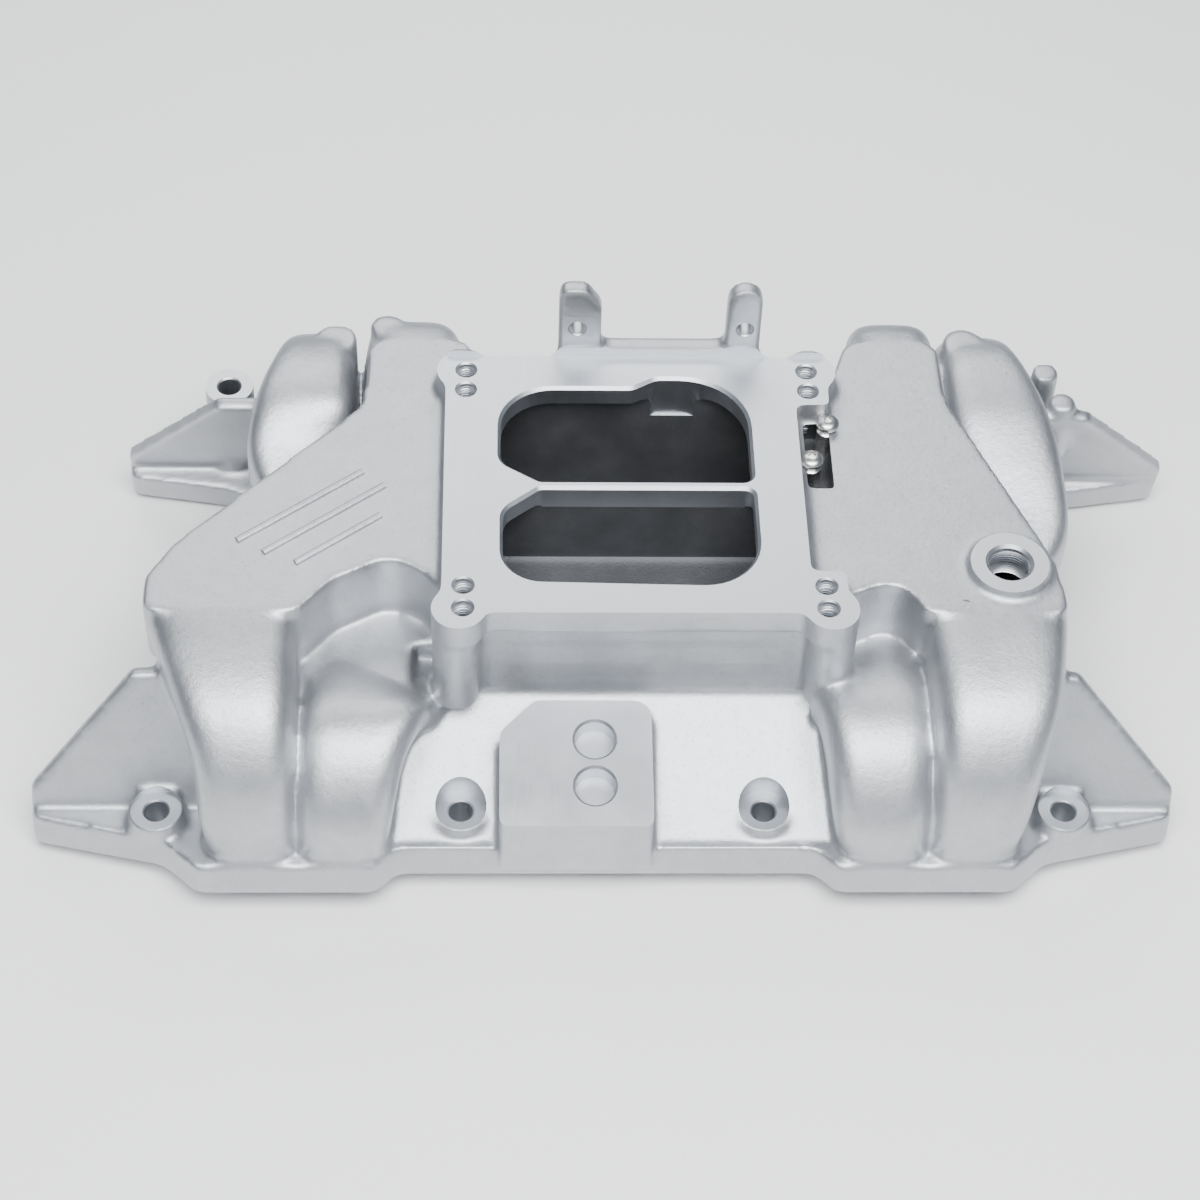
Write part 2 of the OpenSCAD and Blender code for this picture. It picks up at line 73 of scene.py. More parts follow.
camera_data = bpy.data.cameras.new("camera")
camera_data.sensor_width = 36.0
camera_data.lens = 83.34
camera_data.clip_start = 0.05
camera = bpy.data.objects.new("camera", camera_data)
bpy.context.scene.collection.objects.link(camera)
pose = Matrix.Identity(4)
for row in range(3):
    for column in range(3):
        pose[row][column] = axes[column][row]
    pose[row][3] = eye[row]
camera.matrix_world = pose
bpy.context.scene.camera = camera
print("camera at", [round(float(v), 4) for v in eye])

# %% [markdown]
# ## Working helpers
# Sizes below are in millimetres from the middle of the carburettor pad, the way the casting is
# drawn, and the helpers turn them into metres in the frame. The near bank has negative Y.
# `lofted` skins a row of rounded-rectangle sections, which is how a pattern maker thinks of an
# intake passage: a section at the port, a section at the bend, a section at the plenum.

# %% Helpers for meshes


def add_object(name, mesh):
    obj = bpy.data.objects.new(name, mesh)
    bpy.context.scene.collection.objects.link(obj)
    return obj


def mesh_from(name, points, faces):
    mesh = bpy.data.meshes.new(name)
    mesh.from_pydata([((x + CARB_X) * MM, y * MM, z * MM) for x, y, z in points], [], faces)
    mesh.validate()
    return mesh


def tidy_normals(mesh):
    form = bmesh.new()
    form.from_mesh(mesh)
    bmesh.ops.remove_doubles(form, verts=form.verts, dist=1e-6)
    bmesh.ops.recalc_face_normals(form, faces=form.faces)
    form.to_mesh(mesh)
    form.free()
    return mesh


def resampled(rows, steps):
    """Rows of numbers joined by a smooth curve, with `steps` stretches between each pair."""
    rows = np.array(rows, float)
    padded = np.vstack([2 * rows[0] - rows[1], rows, 2 * rows[-1] - rows[-2]])
    out = []
    for i in range(1, len(padded) - 2):
        a, b, c, d = padded[i - 1:i + 3]
        for k in range(steps):
            t = k / steps
            out.append(0.5 * (2 * b + (c - a) * t + (2 * a - 5 * b + 4 * c - d) * t * t
                              + (3 * b - a - 3 * c + d) * t ** 3))
    out.append(padded[-2])
    return out


def section_ring(row, direction, side, grow, squareness, around):
    x, y, z, half_w, yaw, half_h, pitch = row
    yaw, pitch = math.radians(yaw), math.radians(pitch)
    wide = np.array([math.cos(yaw), direction * math.sin(yaw), 0.0]) * (half_w + grow)
    tall = np.array([0.0, math.cos(pitch), math.sin(pitch)]) * (half_h + grow)
    ring = []
    for i in range(around):
        angle = 2 * math.pi * i / around
        c, s = math.cos(angle), math.sin(angle)
        point = (np.array([x, y, z]) + wide * math.copysign(abs(c) ** squareness, c)
                 + tall * math.copysign(abs(s) ** squareness, s))
        point[1] *= side
        ring.append(point)
    return ring


def lofted(name, rows, direction=1, side=1, grow=0.0, reach=(0.0, 0.0), squareness=0.5, around=36, steps=6):
    """A closed passage through the sections; reach lengthens its two ends."""
    rows = resampled(rows, steps)
    rings = [section_ring(r, direction, side, grow, squareness, around) for r in rows]
    for end, inner, length in ((0, 1, reach[0]), (-1, -2, reach[1])):
        if length:
            middle = np.mean(rings[end], axis=0)
            away = middle - np.mean(rings[inner], axis=0)
            away *= length / np.linalg.norm(away)
            longer = [p + away for p in rings[end]]
            if end == 0:
                rings.insert(0, longer)
            else:
                rings.append(longer)
    points = [p for ring in rings for p in ring]
    faces = []
    for j in range(len(rings) - 1):
        for i in range(around):
            k = (i + 1) % around
            faces.append((j * around + i, j * around + k, (j + 1) * around + k, (j + 1) * around + i))
    faces.append(tuple(range(around))[::-1])
    faces.append(tuple(range((len(rings) - 1) * around, len(rings) * around)))
    return tidy_normals(mesh_from(name, points, faces))


def rounded_outline(corners, arc=6):
    """Corners of [x, y, radius] turned into a plain outline."""
    out = []
    count = len(corners)
    for i in range(count):
        p0, p1, p2 = (np.array(corners[(i + k) % count][:2], float) for k in (-1, 0, 1))
        radius = corners[i][2]
        if radius <= 0:
            out.append(tuple(p1))
            continue
        a = (p0 - p1) / np.linalg.norm(p0 - p1)
        b = (p2 - p1) / np.linalg.norm(p2 - p1)
        half = math.acos(max(-1, min(1, float(a @ b)))) / 2
        centre = p1 + (a + b) / np.linalg.norm(a + b) * radius / math.sin(half)
        start = p1 + a * radius / math.tan(half)
        finish = p1 + b * radius / math.tan(half)
        a0 = math.atan2(*(start - centre)[::-1])
        a1 = math.atan2(*(finish - centre)[::-1])
        sweep = (a1 - a0 + math.pi) % (2 * math.pi) - math.pi
        for k in range(arc + 1):
            angle = a0 + sweep * k / arc
            out.append((centre[0] + radius * math.cos(angle), centre[1] + radius * math.sin(angle)))
    return out


def prism(name, outline, low, high, place=None):
    """An outline in the plane pulled from low to high, then placed by a 4x4 matrix in millimetres."""
    count = len(outline)
    points = [Vector((x, y, z)) for z in (low, high) for x, y in outline]
    if place is not None:
        points = [place @ p for p in points]
    faces = [tuple(range(count))[::-1], tuple(range(count, 2 * count))]
    faces += [(i, (i + 1) % count, count + (i + 1) % count, count + i) for i in range(count)]
    return tidy_normals(mesh_from(name, points, faces))


def block(name, low, high, place=None):
    (x0, y0, z0), (x1, y1, z1) = low, high
    return prism(name, [(x0, y0), (x1, y0), (x1, y1), (x0, y1)], z0, z1, place)


def circle_outline(x, y, radius, count=48):
    return [(x + radius * math.cos(2 * math.pi * i / count), y + radius * math.sin(2 * math.pi * i / count))
            for i in range(count)]


def drum(name, x, y, radius, low, high, place=None, count=48):
    return prism(name, circle_outline(x, y, radius, count), low, high, place)


def shift(x, y, z):
    return Matrix.Translation((x, y, z))


def joined(name, meshes):
    form = bmesh.new()
    for mesh in meshes:
        form.from_mesh(mesh)
    out = bpy.data.meshes.new(name)
    form.to_mesh(out)
    form.free()
    for mesh in meshes:
        bpy.data.meshes.remove(mesh)
    return out


def evaluated(obj):
    """The object's mesh after its modifiers, with the object itself removed."""
    graph = bpy.context.evaluated_depsgraph_get()
    mesh = bpy.data.meshes.new_from_object(obj.evaluated_get(graph))
    bpy.data.objects.remove(obj)
    return mesh


def fused(name, meshes, voxel, rounds):
    """One skin over many overlapping shells, softened like a casting."""
    obj = add_object(name, joined(name, meshes))
    skin = obj.modifiers.new("skin", "REMESH")
    skin.mode = "VOXEL"
    skin.voxel_size = voxel * MM
    soften = obj.modifiers.new("soften", "SMOOTH")
    soften.factor = 0.5
    soften.iterations = rounds
    return evaluated(obj)


def cut(mesh, cutter, operation="DIFFERENCE"):
    obj = add_object("work", mesh)
    tool = add_object("tool", cutter)
    step = obj.modifiers.new("cut", "BOOLEAN")
    step.solver = "MANIFOLD"
    step.operation = operation
    step.object = tool
    out = evaluated(obj)
    bpy.data.objects.remove(tool)
    return out


# %% [markdown]
# ## Shapes shared with the drawing
# The two flanges are the same casting turned round, tilted twelve degrees, and staggered along
# the engine. The rows below give each passage's sections, outward from the head: place, half
# width, yaw of the width, half height and pitch of the height.

# %% Flange, port and passage sizes
NEAR, FAR = -1, 1
TILT = math.radians(12)
INNER_Y = 74.0
PLATE = 14.0
HALF_LENGTH = 232.0
PORT_S = 30.0
PORT_OFF = 18.0
PAIR_X = 126.0
BOLT_Y = 103.0
BORE_PITCH = 121.92
SHIFT = 2.5
UPPER_Z, ROOF_Z = 66.0, 98.0
CASE = dict(x0=-65.0, x1=68.0, y0=-62.0, y1=66.0, z0=36.0)
WALL = 4.5
centre_x = {NEAR: -14.0, FAR: 9.0}
pattern_x = {NEAR: centre_x[NEAR] + SHIFT, FAR: centre_x[FAR] - SHIFT}
foot_y = INNER_Y + PORT_S * math.cos(TILT) - PLATE * math.sin(TILT)
foot_z = PORT_S * math.sin(TILT) + PLATE * math.cos(TILT)


def foot(x):
    return [x, foot_y, foot_z, PORT_OFF + 0.6, 0, 28, 12]


near_front, near_rear = pattern_x[NEAR] - PAIR_X, pattern_x[NEAR] + PAIR_X
far_front, far_rear = pattern_x[FAR] - PAIR_X, pattern_x[FAR] + PAIR_X
MIDDLE, TALL = (UPPER_Z + ROOF_Z) / 2, (ROOF_Z - UPPER_Z) / 2
passages = {
    "near_outer_front": (NEAR, 1, [foot(near_front - PORT_OFF), [-156.5, 101, 39, 19.5, 0, 27, 16],
        [-157, 97, 57, 20, 0, 25, 36], [-160.5, 85, 71, 23.5, 0, 22, 56], [-166, 62, 80, 28, 0, 17.5, 78],
        [-167.5, 46, MIDDLE, 30.5, 0, TALL, 90], [-160, 26, MIDDLE, 26, 0, TALL, 90]]),
    "near_outer_rear": (NEAR, 1, [foot(near_rear + PORT_OFF), [134.5, 101, 39, 20, 0, 27, 16],
        [136.5, 97, 57, 22, 0, 25, 36], [139.5, 85, 71, 25, 0, 22, 56], [141, 62, 80, 28, 0, 17.5, 78],
        [141, 46, MIDDLE, 29, 0, TALL, 90], [138, 26, MIDDLE, 26, 0, TALL, 90]]),
    "near_inner_front": (NEAR, 1, [foot(near_front + PORT_OFF), [-118, 101, 37, 19.5, 0, 27, 18],
        [-115.5, 94, 52, 21.5, 0, 23, 42], [-111, 82, 59, 25, 0, 18, 66], [-106, 64, 54, 25, 30, 13, 90],
        [-88, 47, 48, 23, 62, 11, 90], [CASE["x0"], 36, 49, 20, 90, 11, 90]]),
    "near_inner_rear": (NEAR, -1, [foot(near_rear - PORT_OFF), [95, 101, 37, 19.5, 0, 27, 18],
        [94, 94, 52, 20.5, 0, 23, 42], [92.5, 82, 60, 22, 0, 18, 66], [90, 64, 58, 24, 25, 15, 90],
        [82, 48, 51, 21, 60, 13, 90], [CASE["x1"], 38, 50, 20, 90, 12, 90]]),
    "far_inner_front": (FAR, 1, [foot(far_front + PORT_OFF), [-101, 101, 39, 18.5, 0, 27, 16],
        [-98, 100, 58, 19.5, 0, 26, 30], [-95, 98, 74, 20, 0, 23, 52], [-93, 92, 81, 20.5, 0, 17.5, 78],
        [-92.5, 84, MIDDLE, 20.5, 0, TALL, 90], [-92.5, 66, MIDDLE, 20, 0, TALL, 90]]),
    "far_inner_rear": (FAR, 1, [foot(far_rear - PORT_OFF), [114, 101, 39, 18.5, 0, 27, 16],
        [113, 100, 58, 19, 0, 26, 30], [112, 98, 74, 19, 0, 23, 52], [111.5, 92, 81, 19.5, 0, 17.5, 78],
        [111.5, 84, MIDDLE, 19.5, 0, TALL, 90], [111.5, 66, MIDDLE, 19, 0, TALL, 90]]),
    "far_outer_front": (FAR, 1, [foot(far_front - PORT_OFF), [-138, 101, 42, 18.5, 0, 27, 14],
        [-136.5, 98, 62, 16.5, 0, 25, 34], [-137.5, 88, 74, 17.5, 0, 22, 56],
        [-141, 66, 75, 21.5, 0, 19, 88], [-141, 46, 66, 22, 20, 15, 90], [-118, 22, 51, 22, 55, 13, 90],
        [CASE["x0"], 14, 50, 20, 90, 12, 90]]),
    "far_outer_rear": (FAR, -1, [foot(far_rear + PORT_OFF), [150.5, 101, 42, 18.5, 0, 27, 14],
        [149.5, 98, 62, 17, 0, 25, 34], [151, 88, 74, 18, 0, 22, 56], [156, 66, 74, 22, 0, 19, 88],
        [159, 42, 67, 24, 10, 17, 90], [157, 18, 57, 26, 25, 15, 90], [140, 5, 51, 23, 55, 13, 90],
        [112, 5, 50, 21, 75, 12.5, 90], [CASE["x1"], 6, 50, 20, 90, 12, 90]]),
}
print("passages:", ", ".join(passages))

# %% [markdown]
# ## The cast body
# Every cast part is first a plain overlapping shell: flanges, passages, roofs, plenum box, webs,
# columns, bosses. Fusing them through a voxel skin and smoothing it a few rounds gives one
# continuous surface with the generous fillets that sand casting needs. Sharp faces are cut later,
# in the order a machine shop would work.

# %% Shells of the flanges and roofs
def on_face(side, x):
    """Matrix of a head face: x along the engine, y up its slope, z out through the plate."""
    turn_in = Matrix.Rotation(TILT, 4, "X")
    mirror = Matrix.Scale(-1, 4, (0, 1, 0)) if side == NEAR else Matrix.Identity(4)
    return mirror @ shift(x, INNER_Y, 0) @ turn_in


right_half = [[0, 0, 0], [150, 0, 20], [190, 12, 14], [HALF_LENGTH, 18, 4], [HALF_LENGTH, 29.5, 5],
              [178, 44, 12], [163, 60, 6], [92, 60, 6], [84, 49, 8], [0, 49, 0]]
left_half = [[-x, y, r] for x, y, r in right_half][::-1]
flange_outline = rounded_outline(right_half[1:-1] + left_half[1:-1])

front_outline = rounded_outline([
    [-50, -49, 0], [-50, 66, 0], [-62, 78, 4], [-73, 96, 8], [-113, 96, 8], [-115, 56, 14],
    [-162, 6, 40], [-188, -22, 24], [-198, -40, 10], [-198, -58, 6], [-137, -58, 6],
    [-124, -42, 10], [-101, -29, 14], [-87, -38, 10], [-80, -49, 0]])
rear_outline = rounded_outline([
    [50, -49, 0], [82, -49, 0], [103, -40, 12], [112, -58, 6], [170, -58, 6],
    [167, -30, 20], [132, 60, 16], [131, 96, 8], [91, 96, 8], [84, 74, 6], [50, 66, 0]])

shells = []
for side in (NEAR, FAR):
    shells.append(prism("flange", flange_outline, -3, PLATE, on_face(side, centre_x[side])))
shells.append(prism("front roof", front_outline, UPPER_Z, ROOF_Z))
shells.append(prism("rear roof", rear_outline, UPPER_Z, ROOF_Z))
for name, (side, direction, rows) in passages.items():
    shells.append(lofted(name, rows, direction, side, reach=(10, 2)))
print(len(shells), "shells so far")

# %% Shells of the plenum, pad, webs and bosses
BOLT_BOSS_R, BOLT_BOSS_Z = 11.5, 27.0
EAR_R = 11.0
CARB_DX, SQUARE_DY, SPREAD_DY = 71.44, 65.49, 53.98
ears = [(a * (CARB_DX + 1.5), b * SQUARE_DY) for a in (-1, 1) for b in (-1, 1)]
POST_X, POST_Z = pattern_x[FAR] - 1.5 * BORE_PITCH, 61
bolts = [(side, pattern_x[side] + k * BORE_PITCH) for side in (NEAR, FAR) for k in (-1.5, -0.5, 0.5, 1.5)]

shells.append(block("plenum", (CASE["x0"], CASE["y0"], CASE["z0"]), (CASE["x1"], CASE["y1"], 100)))
shells.append(block("pad", (-80, -68, 96), (66, 74, PAD_Z + 3)))
shells += [drum("ear", x, y, EAR_R, 96, PAD_Z + 3) for x, y in ears]
for b in (-1, 1):
    shells.append(block("ear root", (58, b * SPREAD_DY - 8, 96), (80, b * SPREAD_DY + 8, PAD_Z + 3)))
shells += [drum("column", a * (CARB_DX + 3), -SQUARE_DY - 0.5, 9.5, 56, 100) for a in (-1, 1)]
for side, x in bolts:
    shells.append(drum("bolt boss", x, side * BOLT_Y, BOLT_BOSS_R, 8, BOLT_BOSS_Z + 2))


WEB_Y = {(NEAR, -1): 92, (NEAR, 1): 93, (FAR, -1): 98, (FAR, 1): 93}


def web(side, end):
    """Triangular web from a flange tip up to the outer passage, leaning inward."""
    outline = rounded_outline([[0, -8, 0], [0, 8, 3], [-end * 44, 62, 3], [-end * 72, 62, 0],
                               [-end * 72, -8, 0]])
    lean = Matrix.Rotation(math.radians(20), 4, "X") @ Matrix.Rotation(math.radians(90), 4, "X")
    mirror = Matrix.Scale(-1, 4, (0, 1, 0)) if side == NEAR else Matrix.Identity(4)
    stand = shift(centre_x[side] + end * HALF_LENGTH, WEB_Y[side, end], 19)
    return prism("web", outline, -3.4, 3.4, mirror @ stand @ lean)


shells += [web(side, end) for side in (NEAR, FAR) for end in (-1, 1)]

# the apron slopes from the plenum's foot down to the flange, with the heat duct under it
slope = [(56, 54), (62, 53), (118, 22), (112, 16), (60, 42), (56, 42)]
upright = Matrix.Rotation(math.radians(90), 4, "Z") @ Matrix.Rotation(math.radians(90), 4, "X")
for side, x0, x1 in ((NEAR, -101, 80), (FAR, -84, 98)):
    mirror = Matrix.Scale(-1, 4, (0, 1, 0)) if side == NEAR else Matrix.Identity(4)
    shells.append(prism("apron", slope, x0, x1, mirror @ upright))
    for d in (-24, 24):
        shells.append(prism("duct wall", [(66, 46), (66, 10), (110, 10), (110, 22)],
                            centre_x[side] + d - 2.5, centre_x[side] + d + 2.5, mirror @ upright))
shells.append(prism("heat duct", [(centre_x[NEAR] - 22, -82), (centre_x[NEAR] + 22, -82),
                                  (centre_x[FAR] + 22, 82), (centre_x[FAR] - 22, 82)], 10, CASE["z0"] + 2))
# webs that close the corners between the legs of each pair
shells.append(block("leg web", (-140, -76, 44), (-92, -24, 67)))
shells.append(block("leg web", (74, -76, 44), (118, -34, 66)))
shells.append(block("roof foot", (-96, -50, 44), (-62, -30, 68)))
# low walls close the gap between the far apron and the roofs
shells.append(block("roof foot", (-110, 60, 44), (-62, 67, 68)))
shells.append(block("roof foot", (66, 60, 44), (112, 67, 68)))

# fillers join the two near legs of each pair and leave a shallow groove between them
for x in (-137.5, 114.5):
    shells.append(lofted("leg filler", [[x, 98, 25, 14, 0, 22, 12], [x, 96, 39, 12, 0, 22, 16],
                                        [x, 89, 52, 12, 0, 18, 40], [x, 78, 58, 12, 0, 14, 66]], 1, NEAR))

# choke pad, vacuum boss, coil post, stay bosses and the ear bracket behind the pad
choke_outline = rounded_outline([[-57, 84, 0], [-43, 70, 0], [4, 70, 7], [4, 124, 2], [-57, 124, 2]])
shells.append(prism("choke pad", [(x, -y) for x, y in choke_outline], 14, 66))
shells.append(drum("vacuum boss", 147, -35, 16, 80, 104))
shells.append(drum("coil post", POST_X, BOLT_Y, 10.75, 16, POST_Z + 2))
shells.append(drum("stay boss", -106, 106, 7.5, 60, 96))
shells.append(drum("stay boss", 180, 92, 6, 50, 84))
shells.append(drum("stay boss", 186, 76, 6, 50, 82))
shells.append(drum("roof boss", -128, 103, 9, 70, 91))
shells.append(drum("roof boss", 144, 102, 9, 70, 92))
ear_outline = rounded_outline([[-33, 96, 3], [52, 96, 3], [52, 146, 7], [37, 146, 7], [37, 113.5, 4],
                               [-15, 113.5, 4], [-15, 137, 4], [-21, 146, 4], [-33, 146, 4]])
standing = Matrix.Rotation(math.radians(90), 4, "X")
shells.append(prism("ear bracket", ear_outline, -82, -74, standing))
print(len(shells), "shells in all")

# %% Fuse the casting
VOXEL = 1.4
ROUNDS = 14
casting = fused("casting", shells, VOXEL, ROUNDS)
print("fused casting:", len(casting.polygons), "faces")

# %% [markdown]
# ## The passages inside
# A foundry makes the hollows with sand cores, so the hollow is built as its own solid and taken
# out of the casting in one cut. Its surface keeps a core's soft edges, which is what shows when
# looking down the two slots of the pad or up into the ports, and its faces take a near-black material that
# paints in the shade of the hollows.

# %% Build the sand cores
FLOOR_T = 6
DIVIDER_T = 4.0
DIVIDER_Y = 0.3
front_core = [(-56, -43), (-56, -4), (-77, 8), (-77, 92), (-108, 92), (-108, 53), (-156, 2), (-182, -27),
              (-193, -43), (-193, -50), (-142, -50), (-142, -42), (-124, -35), (-101, -23), (-84, -30),
              (-77, -43)]
rear_core = [(58, -43), (58, -4), (88, 8), (97, 20), (97, 92), (126, 92), (126, 59), (160, -31),
             (165, -44), (165, -50), (117, -50), (117, -42), (103, -33), (85, -43)]
inside_x0, inside_x1 = CASE["x0"] + FLOOR_T, CASE["x1"] - FLOOR_T
cores = [
    block("far chamber", (inside_x0, DIVIDER_Y + DIVIDER_T / 2, CASE["z0"] + FLOOR_T), (inside_x1, 60, 100)),
    block("under chamber", (inside_x0, CASE["y0"] + FLOOR_T, CASE["z0"] + FLOOR_T), (inside_x1, 4, 61)),
    block("near chamber", (inside_x0, CASE["y0"] + FLOOR_T, UPPER_Z),
          (inside_x1, DIVIDER_Y - DIVIDER_T / 2, 100)),
    prism("front roof core", front_core, UPPER_Z + WALL, ROOF_Z - WALL),
    prism("rear roof core", rear_core, UPPER_Z + WALL, ROOF_Z - WALL)]
for name, (side, direction, rows) in passages.items():
    inward = 0 if name.startswith("near_outer") else 7
    cores.append(lofted(name, rows, direction, side, grow=-WALL, reach=(8, inward)))
duct = [(centre_x[NEAR] - 17.5, -100), (centre_x[NEAR] + 17.5, -100),
        (centre_x[FAR] + 17.5, 100), (centre_x[FAR] - 17.5, 100)]
cores.append(prism("duct", duct, 14.5, 31.5))
cores.append(block("pocket", (67, 8, ROOF_Z - 14), (81, 50, ROOF_Z + 1)))
core = fused("core", cores, VOXEL * 1.3, 4)
print("cores:", len(core.polygons), "faces")

# %% [markdown]
# ## Machining
# Milling and drilling leave flat, sharp and smoother metal. Each cutter below is one closed tool,
# and its own material slot travels with every face that it leaves behind, so the casting knows
# which faces are machined without any painting.

# %% Materials' places on the casting
CAST, MACHINED, HOLLOW_SHADE = 0, 1, 2
cast_skin = bpy.data.materials.new("sand_cast_aluminium")
milled = bpy.data.materials.new("milled_aluminium")
# this material paints the shade of the hollows: every face the cores leave gets a near-black colour
hollow_shade_skin = bpy.data.materials.new("hollow_aluminium_painted_shade")


def finish_slots(mesh, index):
    mesh.materials.clear()
    mesh.materials.append(cast_skin)
    mesh.materials.append(milled)
    mesh.materials.append(hollow_shade_skin)
    mesh.polygons.foreach_set("material_index", [index] * len(mesh.polygons))
    return mesh


def lathe(name, profile, place, around=56):
    """A profile from axis to axis turned into a closed tool."""
    points = [place @ Vector((0, 0, profile[0][1])), place @ Vector((0, 0, profile[-1][1]))]
    inner = profile[1:-1]
    faces = []
    for i in range(around):
        angle = 2 * math.pi * i / around
        points += [place @ Vector((r * math.cos(angle), r * math.sin(angle), z)) for r, z in inner]
    count = len(inner)
    for i in range(around):
        a, b = 2 + i * count, 2 + ((i + 1) % around) * count
        faces.append((0, b, a))
        faces.append((1, a + count - 1, b + count - 1))
        faces += [(a + k, b + k, b + k + 1, a + k + 1) for k in range(count - 1)]
    return tidy_normals(mesh_from(name, points, faces))


CLEAR_AIR = 25


def drill(name, x, y, radius, top, bottom, chamfer=0.8, place=None):
    """A drill with a countersink at its mouth: local Z from bottom up to top, then clear air."""
    profile = [(0, bottom), (radius, bottom), (radius, top - chamfer), (radius + chamfer, top),
               (radius + chamfer, top + CLEAR_AIR), (0, top + CLEAR_AIR)]
    place = (place or Matrix.Identity(4)) @ shift(x, y, 0)
    return lathe(name, profile, place)


def chamfered_slot(name, outline, low, top, chamfer):
    """A milled pocket whose mouth opens out by a small chamfer."""
    centre = np.mean(outline, axis=0)
    ring = np.array(outline)
    ahead, behind = np.roll(ring, -1, axis=0) - ring, ring - np.roll(ring, 1, axis=0)
    tangent = (ahead / np.linalg.norm(ahead, axis=1)[:, None]
               + behind / np.linalg.norm(behind, axis=1)[:, None])
    normal = np.stack([tangent[:, 1], -tangent[:, 0]], axis=1)
    normal /= np.linalg.norm(normal, axis=1)[:, None]
    if ((ring - centre) * normal).sum() < 0:
        normal = -normal
    wide = ring + normal * chamfer
    levels = [(ring, low), (ring, top - chamfer), (wide, top), (wide, top + 8)]
    count = len(ring)
    points = [(x, y, z) for shape, z in levels for x, y in shape]
    faces = [tuple(range(count))[::-1], tuple(range(3 * count, 4 * count))]
    for j in range(3):
        faces += [(j * count + i, j * count + (i + 1) % count, (j + 1) * count + (i + 1) % count,
                   (j + 1) * count + i) for i in range(count)]
    return tidy_normals(mesh_from(name, points, faces))


# %% Cutters for the top side
far_slot = rounded_outline([[-41, 2.5, 4], [45.5, 2.5, 4], [45.5, 61, 28], [8, 61, 8], [-2, 55, 8],
                            [-57, 55, 22], [-57, 13, 8]], 10)
near_slot = rounded_outline([[-41, -1.8, 4], [45.7, -1.8, 4], [45.7, -53, 22], [-56, -50.5, 16],
                             [-56, -14, 10]], 10)
CHOKE_X0, CHOKE_X1, CHOKE_Y, CHOKE_Z = -57, 4, 70, 57
CHOKE_HOLE_X, CHOKE_R, CHOKE_DEPTH = -19, 8.0, 9
SLOPE = math.radians(12)
VAC_X, VAC_Y, VAC_R, VAC_TOP = 147, -35, 8.6, 102
near_mirror = Matrix.Scale(-1, 4, (0, 1, 0))
choke_face = near_mirror @ shift(0, CHOKE_Y, CHOKE_Z) @ Matrix.Rotation(-SLOPE, 4, "X")

cutters = [("pad face", block("pad face", (-95, -90, PAD_Z), (95, 73.9, PAD_Z + 12))),
           ("far slot", chamfered_slot("far slot", far_slot, 88, PAD_Z, 1.3)),
           ("near slot", chamfered_slot("near slot", near_slot, 88, PAD_Z, 1.3))]
stud_holes = [(a * CARB_DX, b * dy) for a in (-1, 1) for b in (-1, 1) for dy in (SQUARE_DY, SPREAD_DY)]
bracket_face = shift(0, 74, 0) @ standing
cutters += [("ear hole", drill("ear hole", x, 125, 3.5, 0, -8.5, 0.5, bracket_face)) for x in (-25, 45)]
cutters += [("stud hole", drill("stud hole", x, y, 3.95, PAD_Z, 80, 0.7)) for x, y in stud_holes]
for side, x in bolts:
    top = POST_Z if (side, x) == (FAR, POST_X) else BOLT_BOSS_Z
    wide = 12.5 if top == POST_Z else 10.3
    cutters.append(("spot face", drum("spot face", x, side * BOLT_Y, wide, top, top + 33)))
    cutters.append(("bolt hole", drill("bolt hole", x, side * BOLT_Y, 4.95, top, -10, 0.6)))
choke_slab = block("choke face", (CHOKE_X0 - 3, -6.5, 0), (CHOKE_X1 + 4, 75, 30), choke_face)
cutters.append(("choke face", choke_slab))
cutters += [("choke well", drill("choke well", CHOKE_HOLE_X, (y - CHOKE_Y) / math.cos(SLOPE), CHOKE_R, 0,
                                 -CHOKE_DEPTH, 1.0, choke_face)) for y in (87, 107)]
cutters.append(("vacuum face", drum("vacuum face", VAC_X, VAC_Y, 20, VAC_TOP, VAC_TOP + 12)))
cutters.append(("vacuum hole", drill("vacuum hole", VAC_X, VAC_Y, VAC_R, VAC_TOP, UPPER_Z + 9, 1.2)))
print(len(cutters), "cutters for the top side")

# %% Cutters for the head faces
port = rounded_outline([[-14, -23, 7], [14, -23, 7], [14, 23, 7], [-14, 23, 7]], 8)
port_pairs = [(side, pattern_x[side] + p * PAIR_X + q * PORT_OFF)
              for side in (NEAR, FAR) for p in (-1, 1) for q in (-1, 1)]
for side in (NEAR, FAR):
    face = on_face(side, centre_x[side])
    cutters.append(("head face", block("head face", (-260, -30, -40), (260, 80, 0), face)))
    heat = rounded_outline([[-17, 18, 5], [17, 18, 5], [17, 42, 5], [-17, 42, 5]], 6)
    cutters.append(("heat window", prism("heat window", heat, -10, PLATE + 1, face)))
for side, x in port_pairs:
    cutters.append(("port", prism("port", [(px, py + PORT_S) for px, py in port], -10, 8, on_face(side, x))))
print(len(cutters), "cutters in all")

# %% Take the cores and cutters out of the casting
# the faces left by the cores carry the dark painted-shade material
casting = cut(finish_slots(casting, CAST), finish_slots(core, HOLLOW_SHADE))
print("with hollows:", len(casting.polygons), "faces")
for name, tool in cutters:
    before = len(casting.polygons)
    casting = cut(casting, finish_slots(tool, MACHINED))
    if len(casting.polygons) == before:
        print(name, "left the casting unchanged")
print("machined casting:", len(casting.polygons), "faces")

# %% [markdown]
# ## Named pieces
# The casting is one solid, and it is now divided along flat planes into the parts that the
# drawing names, so that each can be found, hidden or repainted. The planes pass through solid
# metal, both sides share them exactly, and the shaded surface runs across each joint unbroken.
# Each region below is a plain box in millimetres, taken in turn from what is left.

# %% Divide the casting
LOW, HIGH = -20, 170


def flange_region(side):
    return block("region", (-270, -30, -40), (270, 70, PLATE), on_face(side, centre_x[side]))


def region(x0, x1, y0, y1, z0=LOW, z1=HIGH):
    return block("region", (x0, y0, z0), (x1, y1, z1))


